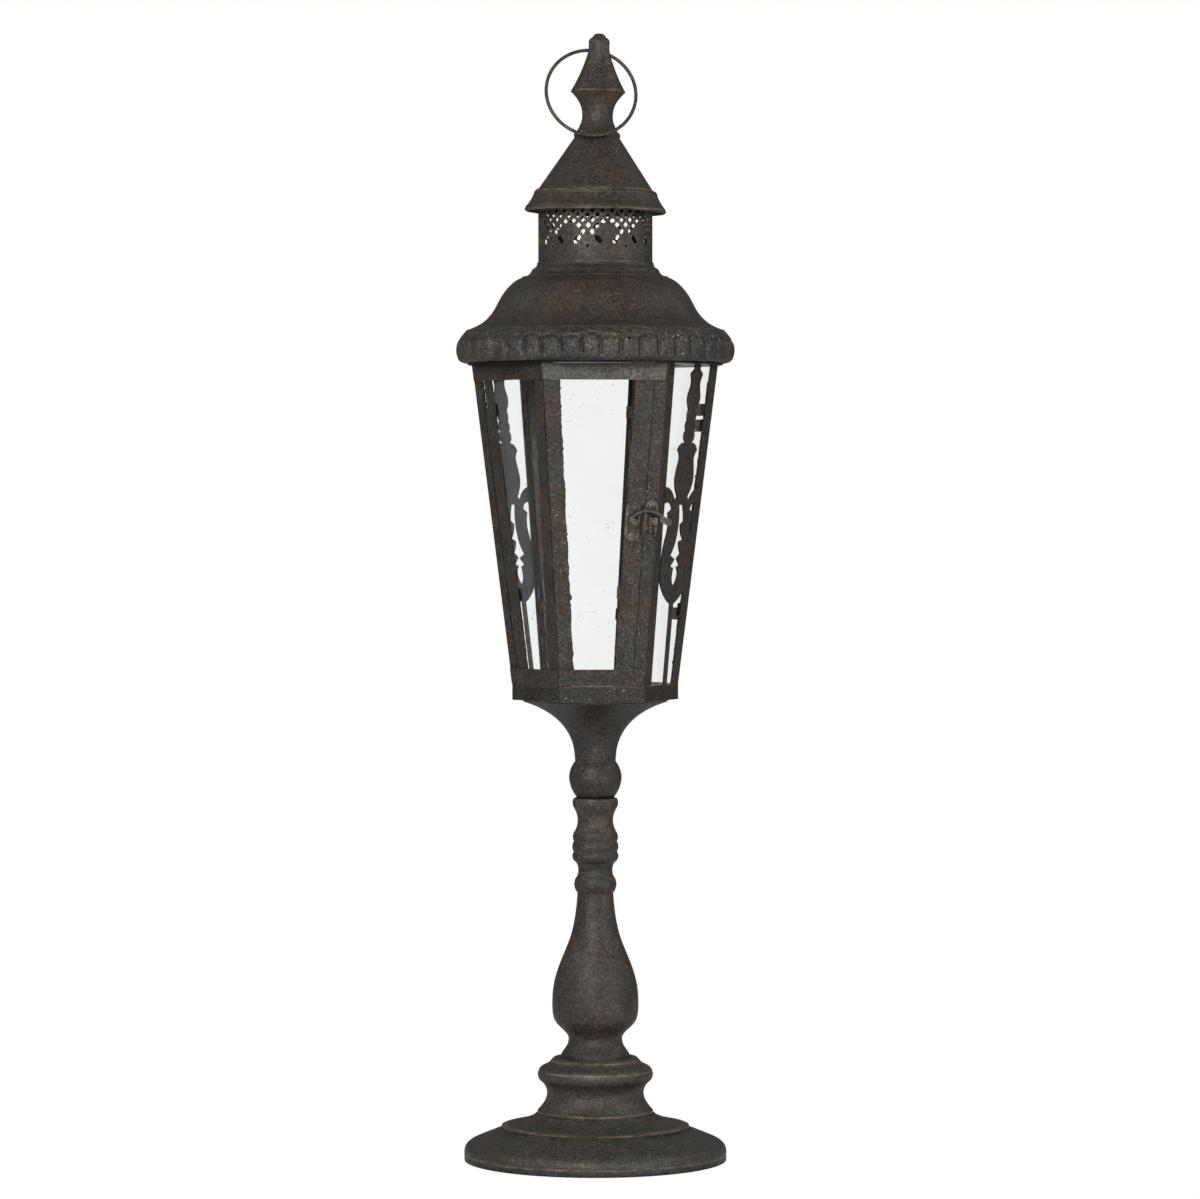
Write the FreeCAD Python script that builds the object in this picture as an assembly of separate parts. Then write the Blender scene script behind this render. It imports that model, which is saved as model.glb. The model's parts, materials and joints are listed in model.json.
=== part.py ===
"""Candle lantern on a turned pedestal, built as an assembly of separate sheet-metal,
turned and glass pieces. Millimetres, +Z up, origin at the centre of the base's underside,
door facing -Y. Each piece is written to parts/NAME.step."""
import FreeCAD, Part
import math
import os
from FreeCAD import Vector

os.makedirs("parts", exist_ok=True)

# ---- driving dimensions -------------------------------------------------------------
SHEET = 1.0                # gauge of posts, stiles and rails
GLASS = 2.0                # pane thickness
CASTING = 3.0              # wall of the cast base

# heights of the main seams
BASE_SEAM = 38.0           # base foot meets the waisted pedestal
COLUMN_BOTTOM = 84.0
COLUMN_TOP = 297.0         # column meets the ball under the cup
NECK = 326.5               # ball meets the cup
FLOOR_BOTTOM = 377.0       # cup rim carries the hexagonal floor
FLOOR_TOP = 378.5
SILL_TOP = 390.0           # posts and panes stand here
BODY_TOP = 650.0           # posts end under the roof seat
ROOF_BOTTOM = 651.5
DOME_BOTTOM = 678.5
GALLERY_BOTTOM = 731.0
GALLERY_TOP = 783.0

# hexagonal body: corner radius grows steadily with height
CORNER_R = 68.1
FLARE = 0.1256
FACES = {"front": -90, "front_right": -30, "back_right": 30,
         "back": 90, "back_left": 150, "front_left": -150}

STILE = 13.8               # width of the stiles and of the plain post flanges
JAMB = 10.2                # narrower post flange, as beside a framed panel
HINGE_STILE = 11.2         # width of the door's hinge stile at its foot
HINGE_STILE_TAPER = 1.2    # how much wider it is at its top
RAIL = 13.2                # height of the raised rails
DOOR_PROUD = 0.2           # door lies this far in front of the frame
DOOR_GAP = 0.5             # around the door, and beside the fixed panel
PANE_LAP = 3.0             # glass behind a stile or flange
FLANGES = {"front_right": (STILE, STILE), "back_right": (JAMB, STILE),
           "back": (STILE, STILE), "back_left": (STILE, STILE)}

# door hinge: rolled edge turning on two short pins
BARREL_R = 1.5
PIN_R = 0.8
PIN_CLEARANCE = 0.05
PIN_LENGTH = 9.0

# latch, in door-face coordinates (across, height)
PIVOT = (24.5, 522.0)
KEEPER = (39.4, 523.6)
PIVOT_R = 1.5
NOTCH_BOTTOM = 511.0       # slot in the door's edge beside the keeper
NOTCH_TOP = 528.5
NOTCH_DEEP = 1.3

# roof
LOBES = 43
FIRST_LOBE_DEG = -89.0
CAP_TILT_DEG = 1.3         # cap and finial sit slightly askew, leaning towards +X
HOLE_R = 3.0               # through the finial's head
HOLE_TILT_DEG = 11.0
HOLE_HEIGHT = 905.0
RING_R = 36.9              # centreline of the hanging ring
WIRE_R = 1.4
RING_LEAN_DEG = 17.2       # the ring hangs forward against the cap

ROD_R = 4.0
UP = Vector(0, 0, 1)
ORIGIN = Vector(0, 0, 0)


# ---- general helpers ----------------------------------------------------------------
def save(shape, node):
    """Write one sub-part; a lone solid is written without its wrapping compound."""
    if len(shape.Solids) == 1:
        shape = shape.Solids[0]
    shape.exportStep(f"parts/{node}.step")


def joined(shapes):
    """One solid made of touching shapes."""
    first, *rest = shapes
    if not rest:
        return first
    return first.fuse(rest).removeSplitter()


def group(shapes):
    """Several separate solids kept in one node."""
    return Part.makeCompound([s.Solids[0] for s in shapes])


def upright(radius, height):
    """Point of the half-plane that is turned about the axis."""
    return Vector(radius, 0, height)


def edges_through(runs, place):
    """Edges through pairs of numbers: two points a line, three an arc, more a curve.
    Each run starts where the last one ended; place turns a pair into a point."""
    edges = []
    pen = None
    for run in runs:
        points = [place(*pair) for pair in run]
        if pen is not None:
            points.insert(0, pen)
        if len(points) == 2:
            edges.append(Part.makeLine(*points))
        elif len(points) == 3:
            edges.append(Part.Arc(*points).toShape())
        elif len(points) > 3:
            curve = Part.BSplineCurve()
            curve.interpolate(points)
            edges.append(curve.toShape())
        pen = points[-1]
    return edges


def closed_face(edges):
    """Face inside a chain of edges; a straight side closes the chain."""
    start = edges[0].Vertexes[0].Point
    end = edges[-1].Vertexes[-1].Point
    if start.distanceToPoint(end) > 1e-6:
        edges.append(Part.makeLine(end, start))
    return Part.Face(Part.Wire(edges))


def turned(*runs):
    """Solid of revolution about +Z from (radius, height) runs; the last side closes it."""
    face = closed_face(edges_through(runs, upright))
    return face.revolve(ORIGIN, UP, 360)


def ring(inner, outer, bottom, top):
    """Plain ring or washer about the axis."""
    return turned([(inner, bottom), (outer, bottom)], [(outer, top)], [(inner, top)])


def hexagon(radius, height):
    """Horizontal hexagon wire with its corners on +X and -X."""
    corners = []
    for step in range(7):
        angle = math.radians(60 * step)
        corners.append(Vector(radius * math.cos(angle), radius * math.sin(angle), height))
    return Part.makePolygon(corners)


def hex_prism(radius, bottom, top):
    return Part.Face(hexagon(radius, bottom)).extrude(UP * (top - bottom))


def cylinder(start, end, radius):
    axis = end - start
    return Part.makeCylinder(radius, axis.Length, start, axis)


# ---- coordinates on the leaning faces -----------------------------------------------
def corner_radius(height):
    return CORNER_R + FLARE * (height - SILL_TOP)


def half_width(height, depth=0.0):
    """Half the face's width at a height, this deep behind its outside."""
    return corner_radius(height) / 2 - depth * math.tan(math.radians(30))


def outward(face):
    angle = math.radians(FACES[face])
    return Vector(math.cos(angle), math.sin(angle), 0)


def rightward(face):
    angle = math.radians(FACES[face])
    return Vector(-math.sin(angle), math.cos(angle), 0)


def on_face(face, across, height, depth=0.0):
    """Point of the row frame for a place on a face: across to the right, depth inwards."""
    apothem = corner_radius(height) * math.cos(math.radians(30))
    return outward(face) * (apothem - depth) + rightward(face) * across + UP * height


def panel(face, corners, depth, thick):
    """Flat plate on a face from (across, height) corners, thickened inwards."""
    points = [on_face(face, a, h, depth) for a, h in corners]
    plate = Part.Face(Part.makePolygon(points + points[:1]))
    return plate.extrude(outward(face) * -thick)


def strip(face, side, start, width, bottom, top, depth, thick):
    """Upright strip parallel to the face's left (-1) or right (1) edge."""
    corners = []
    for height, inset in ((bottom, start), (bottom, start + width),
                          (top, start + width), (top, start)):
        corners.append((side * (half_width(height, depth) - inset), height))
    return panel(face, corners, depth, thick)


def bar(face, left, right, bottom, top, depth, thick):
    """Level strip running from one inset off the left edge to another off the right."""
    corners = [(-half_width(bottom) + left, bottom), (half_width(bottom) - right, bottom),
               (half_width(top) - right, top), (-half_width(top) + left, top)]
    return panel(face, corners, depth, thick)


def face_frame(face, across, height, depth=0.0):
    """Placement whose X runs right, Y up the slope and Z out of the face."""
    right = rightward(face)
    slope = on_face(face, across, height + 10) - on_face(face, across, height)
    slope.normalize()
    out = right.cross(slope)
    matrix = FreeCAD.Matrix(right.x, slope.x, out.x, 0,
                            right.y, slope.y, out.y, 0,
                            right.z, slope.z, out.z, 0,
                            0, 0, 0, 1)
    place = FreeCAD.Placement(matrix)
    place.Base = on_face(face, across, height, depth)
    return place


def placed(shape, placement):
    moved = shape.copy()
    moved.Placement = placement.multiply(moved.Placement)
    return moved


# ---- pedestal -----------------------------------------------------------------------
def base_foot():
    """Wide round foot, cast hollow, with a crisp raised edge round its upper plate."""
    return turned(
        [(101, 0), (107.2, 0)],
        [(107.4, 7.5)],
        [(104.6, 13.5), (98.4, 17.0), (84.3, 22.8), (76.4, 26.2)],
        [(76.8, 28.2)],
        [(75.0, 28.6)],
        [(62, 31.6), (51.5, 35.6)],
        [(48.5, BASE_SEAM)],
        [(10, BASE_SEAM)],
        [(10, BASE_SEAM - CASTING)],
        [(46, BASE_SEAM - CASTING)],
        [(72, 25.2)],
        [(83, 19.2)],
        [(101, 9)])


def base_pedestal():
    """Waisted casting with a rounded torus, standing on the foot."""
    return turned(
        [(36, BASE_SEAM), (47.3, BASE_SEAM)],
        [(47.3, 40.6)],
        [(44.4, 43.8), (40.4, 50.6), (39.6, 55.4), (41.0, 60.4), (45.2, 65.2)],
        [(47.2, 69.6), (46.6, 73.0)],
        [(42.6, 77.2), (38.4, 79.4), (36.7, 81.2)],
        [(35.0, 83.0)],
        [(33.8, COLUMN_BOTTOM)],
        [(5, COLUMN_BOTTOM)],
        [(5, COLUMN_BOTTOM - CASTING)],
        [(33, COLUMN_BOTTOM - CASTING - 1.5)],
        [(41, 71)],
        [(36, 60)],
        [(36, 48)])


def column():
    """Turned column: flared foot, tall vase, tapering shaft, bead, and two ring beads."""
    return turned(
        [(5, COLUMN_BOTTOM), (28.4, COLUMN_BOTTOM)],
        [(28.2, 85.6), (26.8, 88.6)],
        [(24.6, 91.6), (22.6, 95.0)],
        [(21.9, 99.0)],
        [(22.4, 101.6), (25.2, 105.4), (29.8, 109.8), (33.2, 114.2), (34.9, 120.4),
         (35.3, 130.5), (34.3, 142.5), (31.2, 155.0), (25.4, 170.0), (19.9, 184.6),
         (16.7, 199.3), (14.9, 215.0)],
        [(14.8, 219.0)],
        [(17.3, 225.8), (14.9, 232.6)],
        [(14.0, 238.4), (15.6, 243.4)],
        [(17.6, 245.2)],
        [(18.9, 248.8), (17.7, 252.4)],
        [(18.9, 256.6), (17.6, 260.8)],
        [(18.5, 265.2), (17.2, 268.8)],
        [(14.5, 278.6), (16.8, 287.0)],
        [(18.2, 289.6)],
        [(18.7, 292.6), (17.9, COLUMN_TOP - 1.0)],
        [(15.4, COLUMN_TOP)],
        [(5, COLUMN_TOP)])


def ball():
    """Spun ball between the column and the cup."""
    return turned(
        [(5, COLUMN_TOP), (15.2, COLUMN_TOP)],
        [(19.4, 304.0), (21.5, 313.0)],
        [(20.6, 319.0), (16.6, NECK)],
        [(5, NECK)])


def cup():
    """Trumpet cup whose rim carries the floor."""
    return turned(
        [(5, NECK), (16.6, NECK)],
        [(16.9, 331.0), (18.6, 341.0), (22.0, 349.0), (27.6, 357.0), (37.0, 365.2),
         (50.0, 372.2), (58.8, 375.4)],
        [(59.6, FLOOR_BOTTOM)],
        [(54.0, FLOOR_BOTTOM)],
        [(35.0, 368.0), (24.0, 358.0), (17.0, 347.5), (13.6, 338.0)],
        [(5, 334.0)])


def tie_rod():
    """Long round-headed bolt clamping foot, column, cup and floor together."""
    shank = cylinder(UP * 24, UP * FLOOR_TOP, ROD_R)
    head = dome_head(9.0, 2.6)
    head.translate(UP * (FLOOR_TOP + 1.0))
    neck = cylinder(UP * FLOOR_TOP, UP * (FLOOR_TOP + 1.0), ROD_R)
    return joined([shank, neck, head])


def hex_nut(flat, bottom, top):
    """Hexagonal nut on the rod."""
    radius = flat / 2 / math.cos(math.radians(30))
    return hex_prism(radius, bottom, top).cut(cylinder(ORIGIN, UP * 500, ROD_R + 0.05))


# ---- floor, sill and posts ----------------------------------------------------------
def floor_plate():
    inner = CORNER_R - SHEET / math.cos(math.radians(30))
    plate = hex_prism(inner, FLOOR_BOTTOM, FLOOR_TOP)
    return plate.cut(cylinder(ORIGIN, UP * 500, ROD_R))


def bottom_band():
    """Upright hexagonal skirt round the floor."""
    inner = CORNER_R - SHEET / math.cos(math.radians(30))
    outer = hex_prism(CORNER_R, FLOOR_BOTTOM, SILL_TOP - SHEET)
    return outer.cut(hex_prism(inner, FLOOR_BOTTOM - 1, SILL_TOP))


def sill():
    """Flat hexagonal ring on the skirt; posts and panes stand on it."""
    outer = hex_prism(CORNER_R, SILL_TOP - SHEET, SILL_TOP)
    inner = hex_prism(CORNER_R - 12, SILL_TOP - 5, SILL_TOP + 5)
    return outer.cut([inner, hinge_sweep(PIN_R + PIN_CLEARANCE)])


def post(left_face, right_face, left_width, right_width):
    """Folded corner strip: one flange on the face each side of the corner."""
    left = strip(left_face, 1, 0, left_width, SILL_TOP, BODY_TOP, 0, SHEET)
    right = strip(right_face, -1, 0, right_width, SILL_TOP, BODY_TOP, 0, SHEET)
    return joined([left, right])


def hinge_post():
    """Corner strip folded back behind the door's rolled edge."""
    set_back = 4.3
    web_inset = 5.0
    seat = strip("front_left", 1, web_inset, 4.0, SILL_TOP, BODY_TOP, SHEET, SHEET)
    web = strip("front_left", 1, web_inset, SHEET, SILL_TOP, BODY_TOP, SHEET, set_back)
    back = strip("front_left", 1, 0, web_inset + 0.6, SILL_TOP, BODY_TOP, set_back, SHEET)
    stop = strip("front", -1, 0, 7.0, SILL_TOP, BODY_TOP, set_back, SHEET)
    return joined([seat, web, back, stop])


# ---- door ---------------------------------------------------------------------------
DOOR_BOTTOM = SILL_TOP + DOOR_GAP
DOOR_TOP = BODY_TOP - DOOR_GAP


def hinge_point(height):
    """Hinge axis, inside the corner: one barrel radius behind both outer surfaces."""
    depth = BARREL_R - DOOR_PROUD
    beside = (BARREL_R - depth / 2) / math.cos(math.radians(30))
    return on_face("front", beside - half_width(height), height, depth)


def hinge_inset():
    """Distance from the face's left edge to the hinge axis."""
    return hinge_point(SILL_TOP).x + half_width(SILL_TOP)


RAIL_ROOM = BARREL_R + SHEET + 0.35


def hinge_sweep(radius):
    """Room the door's edge needs round the hinge axis."""
    return cylinder(hinge_point(SILL_TOP - 30), hinge_point(BODY_TOP + 30), radius)


def between_levels(shape, bottom, top):
    """Part of a shape between two heights."""
    slab = Part.makeBox(400, 400, top - bottom, Vector(-200, -200, bottom))
    return shape.common(slab)


def door_stile_left():
    """Hinge stile with its edge rolled into a barrel."""
    start = hinge_inset()
    outline = [(start, DOOR_BOTTOM), (HINGE_STILE, DOOR_BOTTOM),
               (HINGE_STILE + HINGE_STILE_TAPER, DOOR_TOP), (start, DOOR_TOP)]
    corners = [(inset - half_width(height), height) for inset, height in outline]
    flat = panel("front", corners, -DOOR_PROUD, SHEET)
    barrel = between_levels(hinge_sweep(BARREL_R), DOOR_BOTTOM, DOOR_TOP)
    bore = hinge_sweep(PIN_R + PIN_CLEARANCE)
    return joined([flat, barrel]).cut(bore)


def door_stile_right():
    """Latch stile, notched beside the keeper."""
    stile = strip("front", 1, JAMB + DOOR_GAP, STILE, DOOR_BOTTOM, DOOR_TOP, -DOOR_PROUD, SHEET)
    edge = half_width(NOTCH_BOTTOM) - JAMB - DOOR_GAP
    notch = Part.makeBox(8, 40, NOTCH_TOP - NOTCH_BOTTOM,
                         Vector(edge - NOTCH_DEEP, -90, NOTCH_BOTTOM))
    return stile.cut(notch)


def door_rail(bottom):
    """Raised strip across both stiles, lapping over the jamb as the door's stop.
    Its left end is rolled round the hinge barrel."""
    flat = bar("front", hinge_inset(), 0.8, bottom, bottom + RAIL, -DOOR_PROUD - SHEET, SHEET)
    sleeve = between_levels(hinge_sweep(BARREL_R + SHEET), bottom, bottom + RAIL)
    rail = joined([flat, sleeve])
    return rail.cut([hinge_sweep(BARREL_R), door_stile_left()])


def pane(face, left, right, bottom, top, depth):
    """Glass sheet; left and right are insets from the face's edges."""
    return bar(face, left, right, bottom, top, depth, GLASS)


def glass_tab(face, side, edge, height, tall, depth, reach=PANE_LAP + 1.0):
    """Bent tab: a leg beside the glass edge and a finger over its back."""
    thick = 0.8
    leg = strip(face, side, edge - thick, thick, height, height + tall, 0, GLASS + thick)
    finger = strip(face, side, edge - thick, reach + thick, height, height + tall, 0, thick)
    inwards = outward(face) * -1
    leg.translate(inwards * depth)
    finger.translate(inwards * (depth + GLASS))
    return joined([leg, finger])


def hinge_pin(bottom, top):
    return between_levels(hinge_sweep(PIN_R), bottom, top)


# ---- latch --------------------------------------------------------------------------
def stadium(width, height, thick):
    """Upright round-ended plate centred on the local origin, rising along +Z."""
    r = width / 2
    straight = height / 2 - r
    right = Part.makeLine(Vector(r, -straight, 0), Vector(r, straight, 0))
    top = Part.Arc(Vector(r, straight, 0), Vector(0, straight + r, 0),
                   Vector(-r, straight, 0)).toShape()
    left = Part.makeLine(Vector(-r, straight, 0), Vector(-r, -straight, 0))
    bottom = Part.Arc(Vector(-r, -straight, 0), Vector(0, -straight - r, 0),
                      Vector(r, -straight, 0)).toShape()
    plate = Part.Face(Part.Wire([right, top, left, bottom]))
    return plate.extrude(UP * thick)


def dome_head(radius, height):
    """Low round rivet head standing on the local XY plane."""
    sphere_r = (radius * radius + height * height) / (2 * height)
    sphere = Part.makeSphere(sphere_r, Vector(0, 0, height - sphere_r))
    return sphere.common(Part.makeCylinder(radius, height))


PLATE = 1.1
DOOR_PLATE = (23.0, 523.2)
JAMB_PLATE = (37.6, 524.2)
HOOK_GAP = 0.8
HOOK_BAR_R = 1.65
EDGE_SLANT_DEG = math.degrees(math.atan(FLARE / 2))


def on_door(across, height):
    return face_frame("front", across, height, -DOOR_PROUD)


def backplate(width):
    """Round-ended plate with a raised border, turned to run along the door's edge."""
    tall = 31.6
    border = 1.5
    rim = stadium(width, tall, PLATE + 0.7)
    sunk = stadium(width - 2 * border, tall - 2 * border, 2)
    sunk.translate(UP * PLATE)
    plate = rim.cut(sunk)
    plate.rotate(ORIGIN, UP, -EDGE_SLANT_DEG)
    return plate


def latch_plate():
    """Round-ended plate under the hook's pivot."""
    plate = placed(backplate(11.4), on_door(*DOOR_PLATE))
    hole = placed(Part.makeCylinder(PIVOT_R, 4, Vector(0, 0, -2)), on_door(*PIVOT))
    return plate.cut(hole)


def latch_pivot():
    """Shouldered rivet with a domed head that the hook turns on."""
    head_base = PLATE + 2 * HOOK_GAP + 2 * HOOK_BAR_R
    stem = Part.makeCylinder(PIVOT_R, head_base)
    head = dome_head(2.8, 2.1)
    head.translate(UP * head_base)
    return placed(joined([stem, head]), on_door(*PIVOT))


def latch_hook():
    """Round arched bar from an eye at the pivot to a flattened leaf-shaped end."""
    middle = HOOK_BAR_R
    arch = [Vector(-2.6, 3.6, middle), Vector(9.4, 9.8, middle), Vector(22.6, 4.0, middle)]
    path = Part.Arc(*arch).toShape()
    start = path.tangentAt(path.FirstParameter)
    section = Part.Wire(Part.makeCircle(HOOK_BAR_R, arch[0], start))
    bar = Part.Wire(path).makePipeShell([section], True, True)
    eye = Part.makeCylinder(3.4, 2 * HOOK_BAR_R)
    web = Part.makeBox(3.4, 3.6, 2.4, Vector(-4.2, 0.8, 0.4))
    leaf = stadium(5.4, 9.8, 2.4)
    leaf.rotate(ORIGIN, UP, 62)
    leaf.translate(Vector(25.0, 1.8, 0.4))
    hole = Part.makeCylinder(PIVOT_R + 0.06, 9, Vector(0, 0, -1))
    hook = joined([bar, eye, web, leaf]).cut(hole)
    hook.translate(UP * (PLATE + HOOK_GAP))
    return placed(hook, on_door(*PIVOT))


def keeper_plate():
    """Round-ended plate on the jamb, with a keyhole below the block."""
    plate = backplate(10.2)
    eye_r = 2.9
    keyhole = joined([Part.makeCylinder(eye_r, 5, Vector(0, -9.2, 0.3)),
                      Part.makeBox(5.0, 7.0, 5, Vector(-2.5, -9.2, 0.3))])
    plate = placed(plate.cut(keyhole), face_frame("front", *JAMB_PLATE))
    return plate.cut(keeper_knob())


def keeper_knob():
    """Rounded block under the hook's arch."""
    block = Part.makeBox(8.0, 6.6, 3.6, Vector(-4.0, -3.3, PLATE))
    block = block.makeFillet(1.6, [e for e in block.Edges if abs(e.tangentAt(0).z) > 0.9])
    top = [e for e in block.Edges if e.BoundBox.ZMin > PLATE + 3.5]
    block = block.makeFillet(0.8, top)
    return placed(block, face_frame("front", *KEEPER))


def keeper_pin():
    """Small round-headed pin standing in the keyhole."""
    head = dome_head(2.1, 1.6)
    head.translate(UP * 0.3)
    tongue = Part.makeBox(2.2, 4.6, 0.7, Vector(-1.1, 0, 0.3))
    pin = joined([head, tongue])
    pin.translate(Vector(0, -9.2, 0))
    return placed(pin, face_frame("front", *JAMB_PLATE))


def plate_rivets(centre, lift, height):
    """Round heads in the sunk fields of a latch plate; height is up from its centre."""
    heads = []
    for up in height:
        head = dome_head(1.9, 0.5)
        head.translate(Vector(0, up, PLATE))
        head.rotate(ORIGIN, UP, -EDGE_SLANT_DEG)
        heads.append(placed(head, face_frame("front", centre[0], centre[1], -lift)))
    return group(heads)


# ---- ornaments ----------------------------------------------------------------------
ORNAMENT_GAUGE = 1.2


def mirrored_runs(runs):
    """Runs of the right side followed by the same runs on the left, walked back."""
    back = []
    for position in range(len(runs) - 1, -1, -1):
        following = runs[position][:-1]
        if position > 0:
            following = [runs[position - 1][-1]] + following
        back.append([(-across, height) for across, height in reversed(following)])
    return list(runs) + [run for run in back if run]


def cut_out(face, runs, lean):
    """Flat shape standing on the outside of a face; lean shifts it sideways by height."""
    def place(across, height):
        return on_face(face, across + lean(height), height, -ORNAMENT_GAUGE)
    plate = closed_face(edges_through(runs, place))
    return plate.extrude(outward(face) * -ORNAMENT_GAUGE)


def ridged_stem():
    """Small scallops down the ornament's stem."""
    runs = []
    for step in range(3):
        top = 613.0 - 8.4 * step
        swell = 9.0 + 0.8 * step
        runs.append([(swell, top - 4.2), (7.4 + 0.3 * step, top - 8.4)])
    return runs


def ornament(face, lean):
    """Baluster over a lyre, with side arms and a long stem down to the floor band.
    The lyre's opening has a smooth left edge and a thorned right one."""
    flange = half_width(545) - STILE + 3
    outer = [
        [(0, BODY_TOP), (5.6, BODY_TOP)],
        [(5.4, 646.0)],
        [(11.8, 642.4)],
        [(9.0, 637.0)],
        [(9.4, 631.0), (12.6, 622.5), (10.4, 617.0), (7.4, 613.0)],
        *ridged_stem(),
        [(6.2, 586.6)],
        [(13.0, 585.6), (19.2, 580.4)],
        [(15.8, 577.4), (14.2, 573.4)],
        [(17.0, 564.6), (18.2, 557.0), (15.6, 549.6), (10.4, 543.4)],
        [(12.4, 540.8), (15.4, 541.2)],
        [(21.0, 546.4), (flange, 550.6)],
        [(flange, 537.2)],
        [(25.0, 537.8), (20.4, 536.0)],
        [(17.8, 532.6)],
        [(25.2, 529.6)],
        [(22.4, 524.0), (21.9, 516.0), (24.4, 509.0), (27.2, 500.0), (28.2, 488.0),
         (27.4, 474.0)],
        [(16.0, 462.4), (3.3, 455.8)],
        [(3.3, SILL_TOP)],
        [(0, SILL_TOP)]]
    opening = [
        [(3.4, 536.0), (-4.2, 536.0)],
        [(-1.6, 524.0), (-2.4, 512.0), (-6.0, 502.4), (-11.6, 495.4)],
        [(-2.4, 492.0)],
        [(-9.4, 486.4)],
        [(-3.6, 485.0)],
        [(-4.8, 479.6), (-3.6, 473.4), (0.2, 470.8), (4.4, 474.2), (6.4, 480.4), (2.4, 485.2)],
        [(8.2, 487.2)],
        [(1.8, 492.6)],
        [(8.4, 496.8)],
        [(4.4, 501.6), (3.0, 506.2)],
        [(10.6, 508.2)],
        [(5.0, 513.6), (2.8, 520.2)],
        [(8.4, 522.8)],
        [(6.4, 530.0), (3.4, 536.0)]]
    return cut_out(face, mirrored_runs(outer), lean).cut(cut_out(face, opening, lean))


def bowed(height):
    """Sideways bend of the front ornament."""
    return 1.3 + 0.0003 * (height - 500) ** 2


def askew(height):
    """Sideways slant of the back ornament."""
    return 0.034 * (height - 566)


# ---- roof ---------------------------------------------------------------------------
def roof_seat():
    """Flat ring closing the gap between the hexagon and the round rim."""
    seat = ring(72, 104, BODY_TOP, ROOF_BOTTOM)
    return seat.cut(hinge_sweep(PIN_R + PIN_CLEARANCE))


def rim_band():
    """Bulging rim with a curled-under lip, scalloped into lobes."""
    band = turned(
        [(99.0, ROOF_BOTTOM), (107.5, ROOF_BOTTOM)],
        [(111.2, 653.6), (112.6, 656.4)],
        [(113.8, 661.4), (112.3, 667.5)],
        [(109.6, 672.2), (106.2, 677.2)],
        [(105.2, DOME_BOTTOM)],
        [(102.6, DOME_BOTTOM)],
        [(103.4, 676.0)],
        [(107.8, 670.6), (111.2, 662.0)],
        [(110.2, 656.4), (107.0, 653.4)],
        [(99.0, 653.4)])
    grooves = []
    for step in range(LOBES):
        angle = math.radians(FIRST_LOBE_DEG + 360 / LOBES * (step + 0.5))
        foot = Vector(math.cos(angle), math.sin(angle), 0) * 116.4 + UP * 645
        grooves.append(cylinder(foot, foot + UP * 30, 4.0))
    return band.cut(grooves)


def dome():
    """Spun ogee roof."""
    return turned(
        [(104.6, DOME_BOTTOM), (99.6, 680.4), (92.6, 684.2), (86.6, 689.6), (82.6, 695.0),
         (79.2, 701.4), (75.6, 707.6), (71.2, 713.2), (66.0, 718.0), (60.4, 721.0)],
        [(59.4, 722.0)],
        [(44.0, 722.0)],
        [(44.0, 720.4)],
        [(59.4, 719.4), (65.4, 716.2), (70.2, 711.6), (74.2, 706.4), (77.8, 700.4),
         (81.2, 694.0), (85.4, 688.4), (91.8, 682.8), (98.0, 679.4), (101.0, DOME_BOTTOM)])


def gallery_collar():
    """Stepped ring between the dome and the pierced gallery."""
    return turned(
        [(44.0, 722.0), (57.6, 722.0)],
        [(53.6, 724.4), (52.0, 727.0)],
        [(51.0, 728.4)],
        [(48.6, 730.0), (47.6, 732.2)],
        [(47.6, 733.4)],
        [(46.75, 733.4)],
        [(46.75, GALLERY_BOTTOM)],
        [(44.0, GALLERY_BOTTOM)])


GALLERY_R = 46.6
PERIODS = 9
FIRST_DISC_DEG = -123.2
SEAM_DEG = -70.0


def gallery():
    """Pierced band: small diamonds above a row of plain discs with slots round them."""
    shell = ring(GALLERY_R - SHEET, GALLERY_R, GALLERY_BOTTOM, GALLERY_TOP)
    holes = []
    for period in range(PERIODS):
        middle = FIRST_DISC_DEG + 360 / PERIODS * period
        between = middle + 180 / PERIODS
        holes.append(pierced(diamond(4.4, 5.0), middle, 769.4, 0))
        holes.append(pierced(diamond(5.0, 5.2), between, 770.2, 0))
        holes.append(pierced(diamond(5.2, 6.6), between, 761.8, 0))
        holes.append(pierced(diamond(3.8, 4.6), between, 745.2, 0))
        for side in (-1, 1):
            for off, height in ((4.1, 773.6), (8.1, 770.2), (12.2, 773.6), (12.2, 766.8)):
                holes.append(pierced(diamond(4.9, 5.4), middle + side * along(off), height, 0))
            holes.append(pierced(stadium(3.0, 5.4, 10), middle + side * along(3.6), 765.2,
                                 side * -75))
            holes.append(pierced(stadium(3.4, 6.4, 10), middle + side * along(9.2), 761.2,
                                 side * 42))
            holes.append(pierced(stadium(2.7, 4.6, 10), middle + side * along(12.4), 756.4,
                                 side * -30))
            holes.append(pierced(stadium(4.6, 7.8, 10), middle + side * along(7.6), 750.6,
                                 side * -38))
    seam = Part.makeBox(0.8, 0.5, 80, Vector(-0.3, -GALLERY_R - 0.1, GALLERY_BOTTOM - 5))
    seam.rotate(ORIGIN, UP, SEAM_DEG + 90)
    return shell.cut(holes).cut(seam)


def along(length):
    """Angle of a length along the gallery's wall."""
    return math.degrees(length / GALLERY_R)


def diamond(width, height):
    """Diamond-shaped cutter rising along +Z."""
    corners = [Vector(width / 2, 0, 0), Vector(0, height / 2, 0), Vector(-width / 2, 0, 0),
               Vector(0, -height / 2, 0), Vector(width / 2, 0, 0)]
    return Part.Face(Part.makePolygon(corners)).extrude(UP * 10)


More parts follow.
